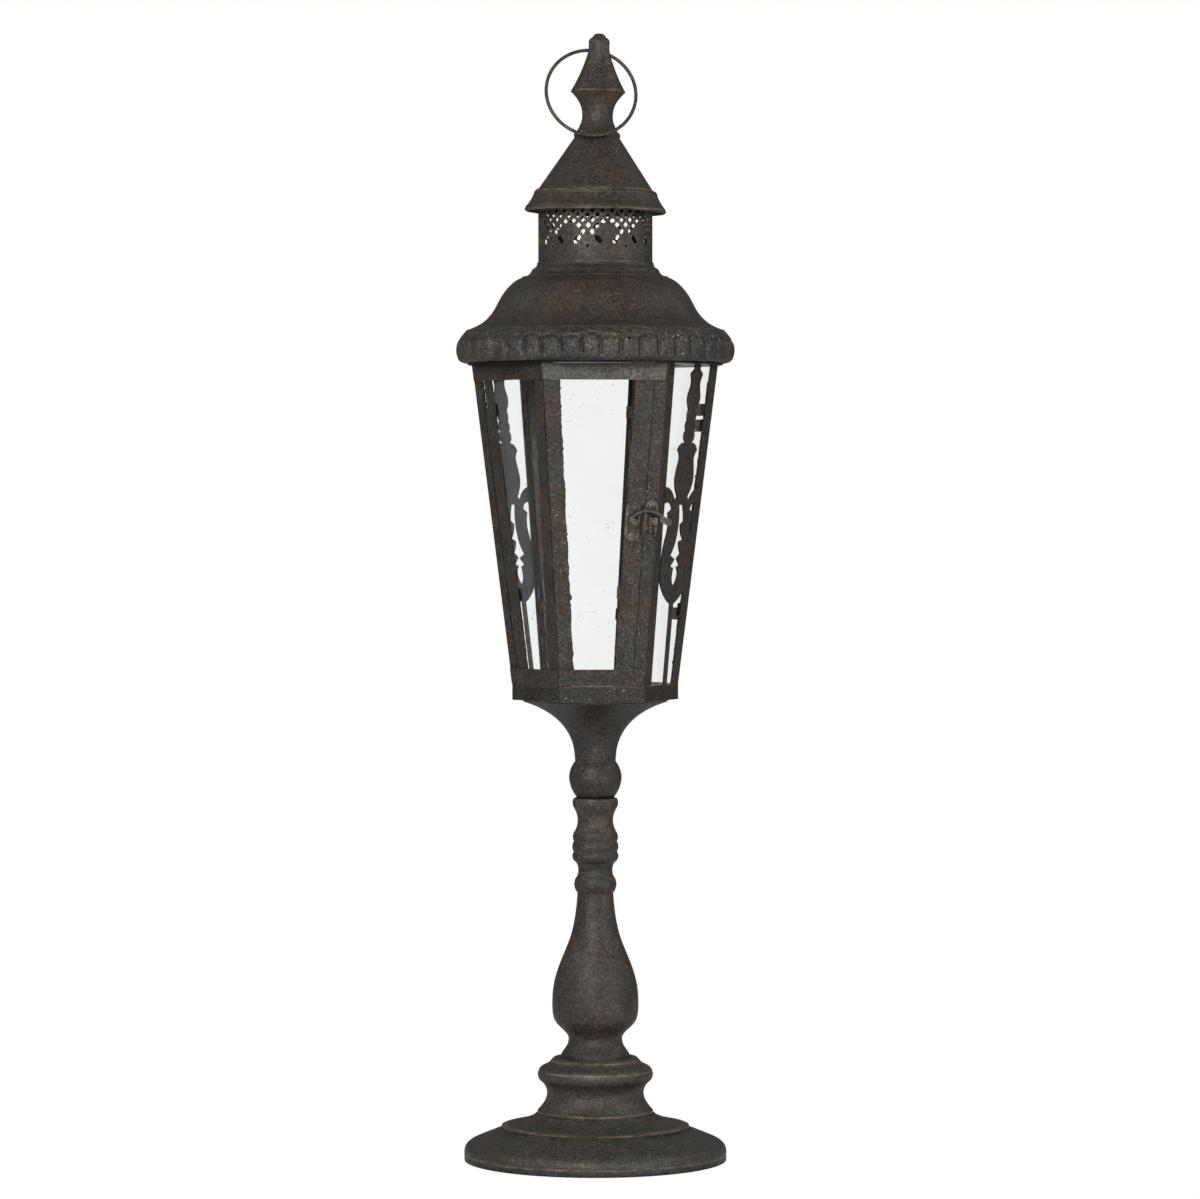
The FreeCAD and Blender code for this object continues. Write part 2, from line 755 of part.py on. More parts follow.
def pierced(cutter, degrees, height, turn):
    """Cutter laid through the gallery's wall at an angle about the axis, turned in place."""
    shape = cutter.copy()
    shape.rotate(ORIGIN, UP, turn)
    shape.rotate(ORIGIN, Vector(1, 0, 0), 90)
    shape.translate(Vector(0, -GALLERY_R + 5, height))
    shape.rotate(ORIGIN, UP, degrees + 90)
    return shape


def tilted(shape):
    """Lean a cap piece towards +X about the gallery's top."""
    moved = shape.copy()
    moved.rotate(UP * 775, Vector(0, 1, 0), CAP_TILT_DEG)
    return moved


def cap_skirt():
    """Flared brim over the gallery, ending above in a rolled bead."""
    return turned(
        [(56.6, 774.4), (57.9, 775.6)],
        [(57.0, 778.0)],
        [(53.2, 783.2), (50.6, 788.4)],
        [(49.6, 791.2), (46.8, 792.6)],
        [(44.8, 792.6)],
        [(48.0, 789.0)],
        [(51.4, 782.6), (55.6, 776.8)])


def cap_cone():
    """Straight cone."""
    return turned(
        [(46.8, 792.6), (18.4, 835.2)],
        [(16.4, 835.2)],
        [(44.8, 792.6)])


def finial_collar():
    """Bead where the finial meets the cone."""
    return turned(
        [(5, 835.2), (18.4, 835.2)],
        [(19.0, 837.4), (17.6, 839.4)],
        [(5, 839.4)])


def finial_lower():
    """Waisted bell opening to a knife edge."""
    return turned(
        [(5, 839.4), (17.2, 839.4)],
        [(14.6, 844.4), (12.8, 849.6), (12.6, 854.4), (13.6, 860.2), (16.2, 865.4),
         (22.2, 872.4)],
        [(22.2, 873.0)],
        [(5, 873.0)])


def finial_upper():
    """Concave spire with a pierced round head."""
    spire = turned(
        [(0, 873.0), (22.2, 873.0)],
        [(18.4, 880.0), (14.8, 887.8), (11.6, 896.0), (8.9, 905.4), (8.5, 909.0)],
        [(8.5, 912.0)],
        [(7.9, 915.2), (5.6, 916.8)],
        [(4.2, 919.0), (1.5, 920.0)],
        [(0, 920.0)])
    centre = UP * HOLE_HEIGHT
    along = hole_direction()
    return spire.cut(cylinder(centre - along * 30, centre + along * 30, HOLE_R))


def hole_direction():
    """Axis of the finial's hole, lower towards +X, before the cap's tilt."""
    angle = math.radians(HOLE_TILT_DEG)
    return Vector(math.cos(angle), 0, -math.sin(angle))


def hanging_ring():
    """Wire ring through the finial's head, leaning forward against the cap."""
    along = hole_direction()
    down = Vector(-math.sin(math.radians(HOLE_TILT_DEG)), 0, -math.cos(math.radians(HOLE_TILT_DEG)))
    centre = UP * HOLE_HEIGHT + down * (RING_R - 0.5)
    wire = Part.makeTorus(RING_R, WIRE_R, centre, Vector(0, 1, 0))
    wire.rotate(UP * HOLE_HEIGHT, along, -RING_LEAN_DEG)
    return wire


# ---- write every node ---------------------------------------------------------------
def pedestal_nodes():
    return {
        "base_foot": base_foot(),
        "base_pedestal": base_pedestal(),
        "column": column(),
        "ball": ball(),
        "cup": cup(),
        "tie_rod": tie_rod(),
        "base_washer": ring(ROD_R + 0.2, 14, BASE_SEAM - CASTING - 2, BASE_SEAM - CASTING),
        "base_nut": hex_nut(13, BASE_SEAM - CASTING - 8, BASE_SEAM - CASTING - 2),
        "floor_washer": ring(ROD_R + 0.2, 15, FLOOR_TOP, FLOOR_TOP + 1.0),
    }


def body_nodes():
    return {
        "floor_plate": floor_plate(),
        "bottom_band": bottom_band(),
        "sill": sill(),
        "hinge_post": hinge_post(),
        "latch_post": post("front", "front_right", JAMB, STILE),
        "right_post": post("front_right", "back_right", STILE, JAMB),
        "back_right_post": post("back_right", "back", STILE, STILE),
        "back_left_post": post("back", "back_left", STILE, STILE),
        "left_post": post("back_left", "front_left", STILE, JAMB),
        "side_stile_left": side_stile_left(),
        "side_stile_right": side_stile_right(),
        "side_rail_top": side_rail(BODY_TOP - RAIL),
        "side_rail_bottom": side_rail(SILL_TOP),
        "glass_front_left": pane("front_left", JAMB + DOOR_GAP + STILE - PANE_LAP,
                                 STILE - PANE_LAP, SILL_TOP, BODY_TOP, SHEET),
    }


def side_stile_left():
    """Fixed stile whose edge is bent away from the jamb near its top."""
    inset = JAMB + DOOR_GAP
    slit = 3.4
    outline = [(inset + slit, 614), (inset + slit, 641), (inset, 641), (inset, BODY_TOP),
               (inset + STILE, BODY_TOP), (inset + STILE, SILL_TOP), (inset, SILL_TOP),
               (inset, 613)]
    corners = [(off - half_width(height), height) for off, height in outline]
    return panel("front_left", corners, 0, SHEET)


def side_stile_right():
    """Fixed stile beside the hinge, cut back round the door's rolled edge and rails."""
    flat = strip("front_left", 1, 0, STILE, SILL_TOP, BODY_TOP, 0, SHEET)
    room = [hinge_sweep(BARREL_R + 0.3)]
    swept = hinge_sweep(RAIL_ROOM)
    room.append(between_levels(swept, SILL_TOP, DOOR_BOTTOM + RAIL + 0.6))
    room.append(between_levels(swept, DOOR_TOP - RAIL - 0.6, BODY_TOP))
    return flat.cut(room)


def side_rail(bottom):
    """Raised strip across the fixed panel, clear of the rolled door rail."""
    flat = bar("front_left", 0.8, 0, bottom, bottom + RAIL, -SHEET, SHEET)
    return flat.cut(hinge_sweep(RAIL_ROOM))


def plain_panes():
    nodes = {}
    for face, (left, right) in FLANGES.items():
        nodes["glass_" + face] = pane(face, left - PANE_LAP, right - PANE_LAP,
                                      SILL_TOP, BODY_TOP, SHEET)
    return nodes


def pane_edge(face, side):
    """Inset of a fixed pane's left (-1) or right (1) edge."""
    if face == "front_left":
        return STILE - PANE_LAP if side > 0 else JAMB + DOOR_GAP + STILE - PANE_LAP
    return FLANGES[face][0 if side < 0 else 1] - PANE_LAP


def pane_tabs():
    """Tabs holding the fixed panes on their upright edges, bent by hand to odd lengths."""
    tabs = []
    short = PANE_LAP + 1.0
    for face in ("front_left", *FLANGES):
        for side in (-1, 1):
            places = [(446, short), (596, short)] if side > 0 else [(458, short), (608, short)]
            if (face, side) == ("back_right", -1):
                places = [(442, 12.0), (596, 12.5), (609, 12.5)]
            if (face, side) == ("back_left", 1):
                places = [(452, 9.0), (573, 8.0)]
            for height, reach in places:
                tabs.append(glass_tab(face, side, pane_edge(face, side), height, 10, SHEET,
                                      reach))
    return group(tabs)


def door_nodes():
    return {
        "door_stile_left": door_stile_left(),
        "door_stile_right": door_stile_right(),
        "door_rail_top": door_rail(DOOR_TOP - RAIL),
        "door_rail_bottom": door_rail(DOOR_BOTTOM),
        "door_glass": pane("front", HINGE_STILE - PANE_LAP, JAMB + DOOR_GAP + STILE - PANE_LAP,
                           DOOR_BOTTOM + 2, DOOR_TOP - 2, SHEET - DOOR_PROUD),
        "door_tabs": door_tabs(),
        "latch_plate": latch_plate(),
        "latch_plate_rivets": plate_rivets(DOOR_PLATE, DOOR_PROUD, (-11.6, 11.6)),
        "latch_pivot": latch_pivot(),
    }


def door_tabs():
    tabs = []
    for side, edge, reach in ((-1, HINGE_STILE - PANE_LAP, PANE_LAP + 1.3),
                              (1, JAMB + DOOR_GAP + STILE - PANE_LAP, PANE_LAP + 2.8)):
        for height in (444, 588):
            tabs.append(glass_tab("front", side, edge, height, 9, SHEET - DOOR_PROUD, reach))
    return group(tabs)


def fixed_trim_nodes():
    return {
        "hinge_pin_bottom": hinge_pin(SILL_TOP - SHEET, SILL_TOP + PIN_LENGTH),
        "hinge_pin_top": hinge_pin(BODY_TOP - PIN_LENGTH, ROOF_BOTTOM),
        "keeper_plate": keeper_plate(),
        "keeper_plate_rivets": plate_rivets(JAMB_PLATE, 0, (11.6,)),
        "keeper_knob": keeper_knob(),
        "keeper_pin": keeper_pin(),
        "pane_tabs": pane_tabs(),
        "ornament_front_right": ornament("front_right", bowed),
        "ornament_back_left": ornament("back_left", askew),
    }


def roof_nodes():
    return {
        "roof_seat": roof_seat(),
        "rim_band": rim_band(),
        "dome": dome(),
        "gallery_collar": gallery_collar(),
        "gallery": gallery(),
        "cap_skirt": tilted(cap_skirt()),
        "cap_cone": tilted(cap_cone()),
        "finial_collar": tilted(finial_collar()),
        "finial_lower": tilted(finial_lower()),
        "finial_upper": tilted(finial_upper()),
        "hanging_ring": tilted(hanging_ring()),
    }


def main():
    nodes = {}
    nodes.update(pedestal_nodes())
    nodes.update(body_nodes())
    nodes.update(plain_panes())
    nodes.update(fixed_trim_nodes())
    nodes.update(door_nodes())
    nodes["latch_hook"] = latch_hook()
    nodes.update(roof_nodes())
    for node, shape in nodes.items():
        save(shape, node)


main()
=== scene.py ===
"""Looks of the candle lantern: procedural materials, finer shapes where the metal is
worked, and a plain studio.

The object stands on z = 0 with its door facing -Y. Lamps, camera and materials are in
metres. The shapes made here are written in millimetres, and add_mesh turns them into
metres.
"""
import json
import math
import random

import bmesh
import bpy
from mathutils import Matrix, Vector

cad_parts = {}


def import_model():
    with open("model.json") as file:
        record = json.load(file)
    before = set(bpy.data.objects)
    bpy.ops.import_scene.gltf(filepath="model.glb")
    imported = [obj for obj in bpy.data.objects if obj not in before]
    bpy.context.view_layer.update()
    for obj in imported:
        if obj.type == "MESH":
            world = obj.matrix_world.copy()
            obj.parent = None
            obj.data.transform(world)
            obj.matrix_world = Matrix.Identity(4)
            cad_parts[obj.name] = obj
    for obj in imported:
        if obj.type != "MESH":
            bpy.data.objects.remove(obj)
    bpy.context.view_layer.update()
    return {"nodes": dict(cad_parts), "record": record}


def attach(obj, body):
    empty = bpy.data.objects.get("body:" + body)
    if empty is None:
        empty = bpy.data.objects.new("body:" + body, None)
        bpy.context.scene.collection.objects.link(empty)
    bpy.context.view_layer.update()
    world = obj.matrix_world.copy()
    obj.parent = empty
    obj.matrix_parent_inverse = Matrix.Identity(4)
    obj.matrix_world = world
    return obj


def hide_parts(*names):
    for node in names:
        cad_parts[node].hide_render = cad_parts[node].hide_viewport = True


MM = 0.001

# ---- camera -------------------------------------------------------------------------
CAMERA_AZIMUTH = math.radians(-5.4)
CAMERA_DISTANCE = 3.87
CAMERA_HEIGHT = 0.55
CAMERA_AIM_HEIGHT = 0.4587
CAMERA_AIM_RIGHT = 0.0038
LENS_MM = 142.1
SENSOR_MM = 36

# ---- studio -------------------------------------------------------------------------
# The camera and the clear glass see the backdrop. The object is lit by the surround.
BACKDROP = 1.0
SURROUND = 0.13
FLOOR_SIZE = 40
# name, place, the point it is aimed at, width and height, watts
LAMPS = [
    ("key", (-1.1, -2.7, 1.5), (0, 0, 0.5), (0.8, 1.2), 58),
    ("fill", (2.0, -2.1, 0.9), (0, 0, 0.5), (0.7, 1.8), 22),
    ("left_side", (-1.9, 0.1, 1.7), (0, 0, 0.4), (0.6, 1.0), 7),
    ("right_side", (1.9, 0.1, 1.7), (0, 0, 0.4), (0.6, 1.0), 7),
]

# ---- colours ------------------------------------------------------------------------
WARM = (0.052, 0.037, 0.028)
COOL = (0.043, 0.040, 0.034)
RUST = (0.24, 0.15, 0.095)
TAN = (0.40, 0.31, 0.22)
BLACK_BROWN = (0.016, 0.013, 0.011)
# Black of soot on edges, and of the painted shadows in the gaps and under the rim.
SOOT_AND_SHADOW = (0.008, 0.007, 0.006)
PALE_CHIP = (0.33, 0.28, 0.23)
DUST = (0.30, 0.28, 0.25, 1)
CLEAR = (0.93, 0.95, 0.95, 1)
WHITE = (1, 1, 1, 1)

# ---- wear and painted crevice shade, in metres --------------------------------------
EDGE_RADIUS = 0.0010
# How far the painted crevice shade reaches, and how dark it gets where it is deepest.
SHADE_REACH = 0.008
SHADE_DARKEST = 0.06
RING_WANDER = 0.0016
# Heights of the crisp turned edges that rub bright.
FOOT_RINGS = (0.0055, 0.0285, 0.0400, 0.0732, 0.0818)
CAP_RINGS = (0.7755, 0.7915)

# ---- pressed rim, in millimetres ----------------------------------------------------
# (radius, height) outlines: up the outside, then down the inside to the curled lip, each
# with the steps that its smooth curve takes from one point to the next.
RIM_OUTSIDE = [(107.2, 651.6), (111.0, 653.4), (113.0, 657.4), (113.7, 662.4),
               (112.8, 667.6), (110.2, 672.4), (107.2, 676.0), (105.2, 678.4)]
RIM_OUTSIDE_STEPS = 6
RIM_INSIDE = [(102.8, 678.4), (103.8, 675.6), (107.0, 670.6), (109.0, 662.4),
              (108.0, 656.4), (104.0, 653.6), (99.2, 653.0), (99.2, 651.6)]
RIM_INSIDE_STEPS = 2
RIM_SEED = 7
LOBES = 43
FIRST_LOBE_DEG = -89.0
STEPS_PER_LOBE = 18
LOBE_FOOT = 655.0
LOBE_TOP_LOW = 670.0
LOBE_TOP_HIGH = 674.5
# Counted in lobes, round the rim.
LOBE_STRAY = 0.09
VALLEY_WIDTH = 0.10
# Depths and heights of the pressing.
VALLEY_DEEP = 4.0
ARCH_DROP = 4.0
LEDGE_DEEP = 1.1
LEDGE_HEIGHT = 1.3

# ---- glazed body, in millimetres ----------------------------------------------------
CORNER_R = 68.1
FLARE = 0.1256
SILL_TOP = 390.0
BODY_TOP = 650.0
FACE_ANGLE = math.radians(60)
# How far the glass stands out from the plain face, on each body: it lies just behind it.
PANE_PROUD = {"lantern": -1.0, "door": -0.8}

# ---- paint that ran on to the glass, in millimetres ---------------------------------
# body, way the face looks, side of the face, width of its stile, growth of that width
PAINTED_EDGES = [("lantern", -30, -1, 13.8, 0), ("lantern", -30, 1, 13.8, 0),
                 ("lantern", -150, 1, 13.8, 0), ("lantern", -150, -1, 24.5, 0),
                 ("lantern", 150, 1, 13.8, 0), ("lantern", 30, -1, 10.2, 0),
                 ("door", -90, -1, 11.2, 1.2), ("door", -90, 1, 24.5, 0)]
FRINGE_SEED = 40
FRINGE_STEPS = 130
FRINGE_END_GAP = 13.5
FRINGE_UNDER_STILE = 0.9
FRINGE_START = 0.6
FRINGE_USUAL = 0.65
FRINGE_LEAST = 0.15
FRINGE_WANDER = 0.45
FRINGE_RETURN = 0.35
BLOB = 1.1
BLOB_CHANCE = 0.04
# Its two skins, over the glass.
FRINGE_SKINS = (0.04, 0.36)

# ---- painted shadow in the gap beside a framed panel, in millimetres ----------------
# way the face looks, side of the face
SEAMS = [(-90, 1), (-150, -1)]
SEAM_SEED = 90
SEAM_STEPS = 90
SEAM_END_GAP = 1
SEAM_NARROW = 0.55
SEAM_WIDE = 1.0
JAMB_EDGE = 10.2
JAMB_CLEAR = 0.02
# Its two skins, over the plain face.
SEAM_SKINS = (0.02, 0.12)


# ---- node helpers -------------------------------------------------------------------
class Graph:
    """A material's node tree, with short ways to add and join nodes."""

    def __init__(self, name):
        self.material = bpy.data.materials.new(name)
        self.material.use_nodes = True
        self.tree = self.material.node_tree
        self.tree.nodes.clear()
        self.out = self.add("ShaderNodeOutputMaterial")
        self.where = self.add("ShaderNodeTexCoord").outputs["Object"]

    def add(self, kind, links=None, **settings):
        """New node, with its settings and with a value or a link for each named socket."""
        node = self.tree.nodes.new(kind)
        for key, value in settings.items():
            setattr(node, key, value)
        for socket, value in (links or {}).items():
            self.feed(node, socket, value)
        return node

    def feed(self, node, socket, value):
        """Link or set one input."""
        if isinstance(value, bpy.types.NodeSocket):
            self.tree.links.new(value, node.inputs[socket])
        else:
            node.inputs[socket].default_value = value

    def finish(self, shader):
        """Use this shader as the surface, and give the material."""
        self.feed(self.out, "Surface", shader.outputs[0])
        return self.material

    def math(self, operation, a, b=0.0, clamp=False):
        """Result of an arithmetic step on two numbers or sockets."""
        node = self.add("ShaderNodeMath", {0: a, 1: b}, operation=operation, use_clamp=clamp)
        return node.outputs[0]

    def noise(self, scale, detail, roughness, distortion=0.0):
        """Grey clouds that stay with the object."""
        node = self.add("ShaderNodeTexNoise", {
            "Vector": self.where, "Scale": scale, "Detail": detail,
            "Roughness": roughness, "Distortion": distortion})
        return node.outputs["Fac"]

    def ramp(self, factor, stops):
        """Colour or grey ramp from (position, value) stops."""
        node = self.add("ShaderNodeValToRGB", {"Fac": factor})
        elements = node.color_ramp.elements
        while len(elements) < len(stops):
            elements.new(0.5)
        for element, (position, value) in zip(elements, stops):
            element.position = position
            shade = (value, value, value) if isinstance(value, (int, float)) else value
            element.color = (*shade, 1)
        return node.outputs["Color"]

    def mix(self, factor, a, b, blend="MIX"):
        """Two colours or sockets mixed by a factor."""
        node = self.add("ShaderNodeMix", data_type="RGBA", blend_type=blend)
        self.feed(node, 0, factor)
        self.feed(node, 6, a if isinstance(a, bpy.types.NodeSocket) else (*a, 1))
        self.feed(node, 7, b if isinstance(b, bpy.types.NodeSocket) else (*b, 1))
        return node.outputs[2]

    def patches(self, scale, start, full, detail=2, roughness=0.5, distortion=0.0):
        """Mask of soft-edged patches, where the clouds rise from start to full."""
        clouds = self.noise(scale, detail, roughness, distortion)
        return self.ramp(clouds, [(start, 0), (full, 1)])

    def mottle(self, colour, stops, scale, detail, roughness, distortion=0.0, amount=1.0):
        """Colour made darker and lighter by clouds, by the stops of a ramp."""
        clouds = self.noise(scale, detail, roughness, distortion)
        return self.mix(amount, colour, self.ramp(clouds, stops), "MULTIPLY")


# ---- metal --------------------------------------------------------------------------
def edges(g, colour, wear, amount):
    """Sharp edges: paint worn off in patches, sooty black settled beside them elsewhere."""
    normal = g.add("ShaderNodeNewGeometry").outputs["Normal"]
    rounded = g.add("ShaderNodeBevel", {"Radius": EDGE_RADIUS}, samples=6).outputs[0]
    dot = g.add("ShaderNodeVectorMath", {0: normal, 1: rounded}, operation="DOT_PRODUCT")
    edge = g.ramp(g.math("SUBTRACT", 1.0, dot.outputs["Value"]), [(0.01, 0), (0.08, 1)])
    rubbed_and_lit = g.patches(60, 0.42, 0.60, 5, 0.75)
    sooty = g.math("MULTIPLY", edge, g.math("SUBTRACT", 1.0, rubbed_and_lit))
    colour = g.mix(g.math("MULTIPLY", sooty, 0.75), colour, SOOT_AND_SHADOW)
    worn = g.math("MULTIPLY", g.math("MULTIPLY", edge, rubbed_and_lit), amount)
    return g.mix(worn, colour, wear)


def painted_crevice_shade(g, colour):
    """Painted shade: colour darkened in seams, corners and grooves, as far as they are
    sheltered.
    """
    shelter = g.add("ShaderNodeAmbientOcclusion", {"Distance": SHADE_REACH}, samples=6)
    dark = g.ramp(shelter.outputs["AO"], [(0.30, SHADE_DARKEST), (0.90, 1.0)])
    return g.mix(1.0, colour, dark, "MULTIPLY")


def worn_rings(g, heights, amount):
    """Mask of thin worn lines round the turned shapes, at these heights."""
    level = g.add("ShaderNodeSeparateXYZ", {0: g.where}).outputs["Z"]
    wander = g.math("SUBTRACT", g.noise(35, 2, 0.5), 0.5)
    level = g.math("ADD", level, g.math("MULTIPLY", wander, RING_WANDER))
    total = 0.0
    for height in heights:
        off = g.math("ABSOLUTE", g.math("SUBTRACT", level, height))
        line = g.ramp(g.math("MULTIPLY", off, 1 / MM), [(0.3, 1), (1.0, 0)])
        total = g.math("ADD", total, line)
    patchy = g.ramp(g.noise(75, 4, 0.7), [(0.38, 0.1), (0.62, 1)])
    return g.math("MULTIPLY", g.math("MULTIPLY", total, patchy), amount, clamp=True)


def patina(name, warm, cool, wear, wear_amount, metallic=0.25, roughness=0.42, grit=1.0,
           grain=1.0, chips_and_glints=0.4, blotch=None, chip_and_glint_colour=PALE_CHIP, rings=()):
    """Aged dark metal: soft brown and grey clouds, sandy grain, worn edges, pale specks of
    chipped paint, painted crevice shade.
    """
    g = Graph(name)
    colour = g.mix(g.patches(24, 0.42, 0.58, 4, 0.55, 0.4), warm, cool)
    colour = g.mottle(colour, [(0.34, 0.80), (0.52, 1.0), (0.68, 1.22)], 55, 4, 0.6, 0.5)
    colour = g.mottle(colour, [(0.36, 0.76), (0.64, 1.26)], 330, 2, 0.6)
    colour = g.mottle(colour, [(0.38, 0.25), (0.5, 0.90), (0.62, 2.4)], 850, 3, 0.8,
                      amount=grain)
    if blotch:
        spots = g.patches(230, 0.61, 0.68, distortion=0.6)
        colour = g.mix(g.math("MULTIPLY", spots, 0.4), colour, blotch)
    # Pale specks of chipped paint; on the rim they are painted glints as well.
    specks = g.math("MULTIPLY", g.patches(480, 0.66, 0.70), g.patches(18, 0.42, 0.58))
    colour = g.mix(g.math("MULTIPLY", specks, chips_and_glints), colour, chip_and_glint_colour)
    colour = edges(g, colour, wear, wear_amount)
    if rings:
        colour = g.mix(worn_rings(g, rings, 0.5), colour, wear)
    # Painted shade in sheltered seams, corners and grooves.
    colour = painted_crevice_shade(g, colour)
    rough = g.ramp(g.noise(240, 3, 0.6), [(0.3, roughness - 0.14), (0.7, roughness + 0.16)])
    pits = g.math("MULTIPLY", g.noise(800, 3, 0.7), 0.6)
    swells = g.math("MULTIPLY", g.noise(190, 3, 0.6), 0.8)
    bump = g.add("ShaderNodeBump", {
        "Height": g.math("ADD", pits, swells), "Strength": 0.6 * grit, "Distance": 0.0011})
    return g.finish(g.add("ShaderNodeBsdfPrincipled", {
        "Base Color": colour, "Metallic": metallic, "Roughness": rough,
        "Specular IOR Level": 0.38, "Normal": bump.outputs[0]}))


def steel():
    """Dull zinc hardware with turning marks."""
    g = Graph("zinc_steel")
    colour = g.ramp(g.noise(700, 3, 0.6), [(0.3, (0.22, 0.22, 0.23)), (0.7, (0.42, 0.42, 0.43))])
    rough = g.ramp(g.noise(90, 3, 0.6), [(0.3, 0.32), (0.7, 0.55)])
    return g.finish(g.add("ShaderNodeBsdfPrincipled", {
        "Base Color": colour, "Metallic": 0.9, "Roughness": rough}))


# ---- glass and floor ----------------------------------------------------------------
def window_glass():
    """Thin clear pane with a grey film and a few specks of dust; lamps shine through it."""
    g = Graph("window_glass")
    tint = g.ramp(g.noise(34, 4, 0.6), [(0.35, (0.928, 0.934, 0.934)),
                                        (0.7, (0.946, 0.951, 0.951))])
    bump = g.add("ShaderNodeBump", {
        "Height": g.noise(12, 2, 0.5), "Strength": 0.06, "Distance": 0.001})
    pane = g.add("ShaderNodeBsdfPrincipled", {
        "Base Color": tint, "Roughness": 0.0, "IOR": 1.12, "Transmission Weight": 1.0,
        "Normal": bump.outputs[0]})
    dust = g.add("ShaderNodeBsdfDiffuse", {"Color": DUST})
    specks = g.math("MULTIPLY", g.patches(250, 0.705, 0.73), g.patches(15, 0.5, 0.58))
    dusty = g.add("ShaderNodeMixShader", {
        0: g.math("MULTIPLY", specks, 0.45), 1: pane.outputs[0], 2: dust.outputs[0]})
    clear = g.add("ShaderNodeBsdfTransparent", {"Color": CLEAR})
    shadow = g.add("ShaderNodeLightPath").outputs["Is Shadow Ray"]
    return g.finish(g.add("ShaderNodeMixShader", {
        0: shadow, 1: dusty.outputs[0], 2: clear.outputs[0]}))


def pale_floor():
    """White seamless paper, lit as evenly as the backdrop it runs into."""
    g = Graph("pale_floor")
    colour = g.ramp(g.noise(3, 3, 0.5), [(0.3, 0.80), (0.7, 0.84)])
    paper = g.add("ShaderNodeBsdfPrincipled", {"Base Color": colour, "Roughness": 0.85})
    glow = g.add("ShaderNodeEmission", {"Color": WHITE, "Strength": BACKDROP})
    path = g.add("ShaderNodeLightPath").outputs
    seen = g.math("MAXIMUM", path["Is Camera Ray"], path["Is Transmission Ray"])
    return g.finish(g.add("ShaderNodeMixShader", {
        0: seen, 1: paper.outputs[0], 2: glow.outputs[0]}))


# ---- which piece wears what ---------------------------------------------------------
def finishes():
    """One material for each slot of the record."""
    return {
        "foot_iron": patina("foot_iron", (0.070, 0.058, 0.047), (0.060, 0.057, 0.050), TAN, 0.8,
                            grain=0.55, blotch=BLACK_BROWN, rings=FOOT_RINGS),
        "column_bronze": patina("column_bronze", (0.066, 0.048, 0.039), (0.047, 0.043, 0.037),
                                TAN, 0.7, grain=0.55, blotch=BLACK_BROWN),
        "cup_iron": patina("cup_iron", (0.044, 0.037, 0.031), (0.036, 0.035, 0.031), TAN, 0.6,
                           grain=0.55, blotch=BLACK_BROWN),
        "frame_iron": patina("frame_iron", WARM, COOL, RUST, 0.5, grain=0.9, chips_and_glints=0.6,
                             blotch=BLACK_BROWN),
        "roof_iron": patina("roof_iron", (0.059, 0.044, 0.035), (0.048, 0.043, 0.037), TAN, 0.8,
                            grain=0.65, blotch=(0.024, 0.016, 0.012), rings=CAP_RINGS),
        "wire": patina("wire", (0.085, 0.064, 0.048), (0.052, 0.045, 0.037), TAN, 0.3),
        "latch_copper": patina("latch_copper", (0.140, 0.102, 0.082), (0.085, 0.070, 0.060),
                               (0.60, 0.43, 0.33), 1.0, metallic=0.6, roughness=0.34),
        "steel": steel(),
        "glass": window_glass(),
    }


def shades():
    """Pairs of a material and the nodes that are darker or lighter than their slot, among them a
    painted shadow and a painted light.
    """
    # Painted shadow: the roof seat is made near black, as the shade under the rim.
    shadow_black = patina("painted_shadow_iron", (0.010, 0.008, 0.007), (0.007, 0.007, 0.006), SOOT_AND_SHADOW, 0.0,
                  grit=0.5)
    dark = patina("dark_iron", (0.036, 0.028, 0.022), (0.031, 0.029, 0.025), RUST, 0.4,
                  grain=0.8, chips_and_glints=0.8, blotch=BLACK_BROWN)
    # Painted light: a lighter copy of the frame iron for the top rail, which is lit below the
    # rim.
    rubbed_and_lit = patina("painted_light_iron", (0.105, 0.090, 0.078), (0.092, 0.086, 0.078), TAN, 0.5,
                    grain=0.6, blotch=(0.035, 0.030, 0.026))
    plate = patina("plate_iron", (0.085, 0.068, 0.057), (0.064, 0.057, 0.050),
                   (0.46, 0.37, 0.30), 1.0, grain=0.6, metallic=0.4)
    hook = patina("hook_iron", (0.094, 0.083, 0.071), (0.074, 0.070, 0.062),
                  (0.46, 0.40, 0.33), 1.0, grain=0.6, metallic=0.5)
    return [
        (shadow_black, ["roof_seat"]),
        (dark, ["bottom_band"]),
        (rubbed_and_lit, ["door_rail_top"]),
        (plate, ["latch_plate", "latch_plate_rivets", "keeper_plate", "keeper_plate_rivets"]),
        (hook, ["latch_hook"]),
    ]


def rim_iron():
    """The rim's own finish: coarser, with many pale specks that are partly chipped paint and
    partly painted glints.
    """
    return patina("rim_iron", (0.058, 0.046, 0.037), (0.043, 0.042, 0.038), TAN, 0.7,
                  roughness=0.38, grit=1.3, chips_and_glints=0.9, blotch=(0.17, 0.135, 0.10),
                  chip_and_glint_colour=(0.50, 0.44, 0.38))


def gap_shadow_finish():
    """Near-black painted shadow for the gap beside a framed panel."""
    return patina("gap_shadow_finish", SOOT_AND_SHADOW, (0.010, 0.009, 0.008), SOOT_AND_SHADOW, 0.0, grit=0.5)


def dress_nodes(frame, looks):
    """Give every CAD node its slot's material, or its own shade."""
    slots = {part["node"]: part["material_slot"] for part in frame["record"]["subparts"]}
    for name, node in frame["nodes"].items():
        node.data.materials.clear()
        node.data.materials.append(looks[slots[name]])
    for look, names in shades():
        for name in names:
            frame["nodes"][name].data.materials[0] = look


